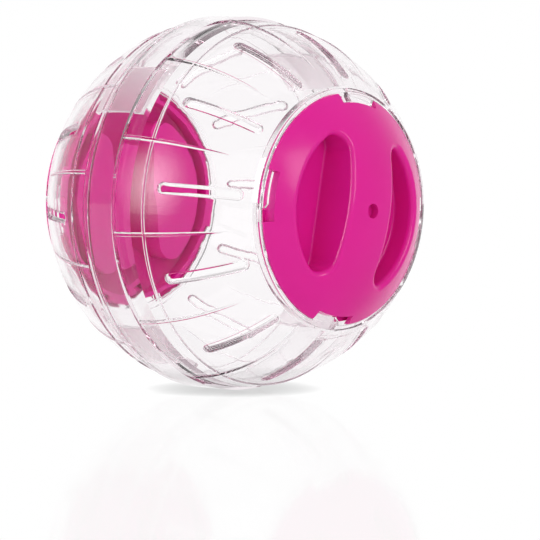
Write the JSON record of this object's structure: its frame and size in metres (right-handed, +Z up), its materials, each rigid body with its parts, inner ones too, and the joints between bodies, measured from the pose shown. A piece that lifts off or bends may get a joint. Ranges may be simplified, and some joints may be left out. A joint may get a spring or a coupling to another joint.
{
  "type": "hamster ball",
  "caption": "Clear run-about ball for a small rodent: two slotted, ribbed half shells pushed together at a band, with a twist-in lid and finger wells at each end.",
  "frame": {"origin": "centre of the ball, midway between the two lids", "axes": "+X out through the right lid along the lid axis, +Z up"},
  "size_m": [0.1422, 0.141, 0.141],
  "materials": {
    "clear_shell": "clear, polished",
    "pink_lid": "satin gloss"
  },
  "bodies": {
    "right_half": {"right_shell": "clear_shell"},
    "left_half": {"left_shell": "clear_shell"},
    "right_lid": {"right_lid": "pink_lid"},
    "left_lid": {"left_lid": "pink_lid"}
  },
  "joints": [
    {"name": "halves_pull", "type": "slide", "parent": "right_half", "child": "left_half", "axis": [-1, 0, 0], "range_m": [0, 0.045]},
    {"name": "right_lid_lift", "type": "slide", "parent": "right_half", "child": "right_lid", "axis": [1, 0, 0], "range_m": [0, 0.08]},
    {"name": "left_lid_turn", "type": "hinge", "parent": "left_half", "child": "left_lid", "pos_m": [-0.055, 0, 0], "axis": [1, 0, 0], "range_deg": [0, 6.5]}
  ]
}
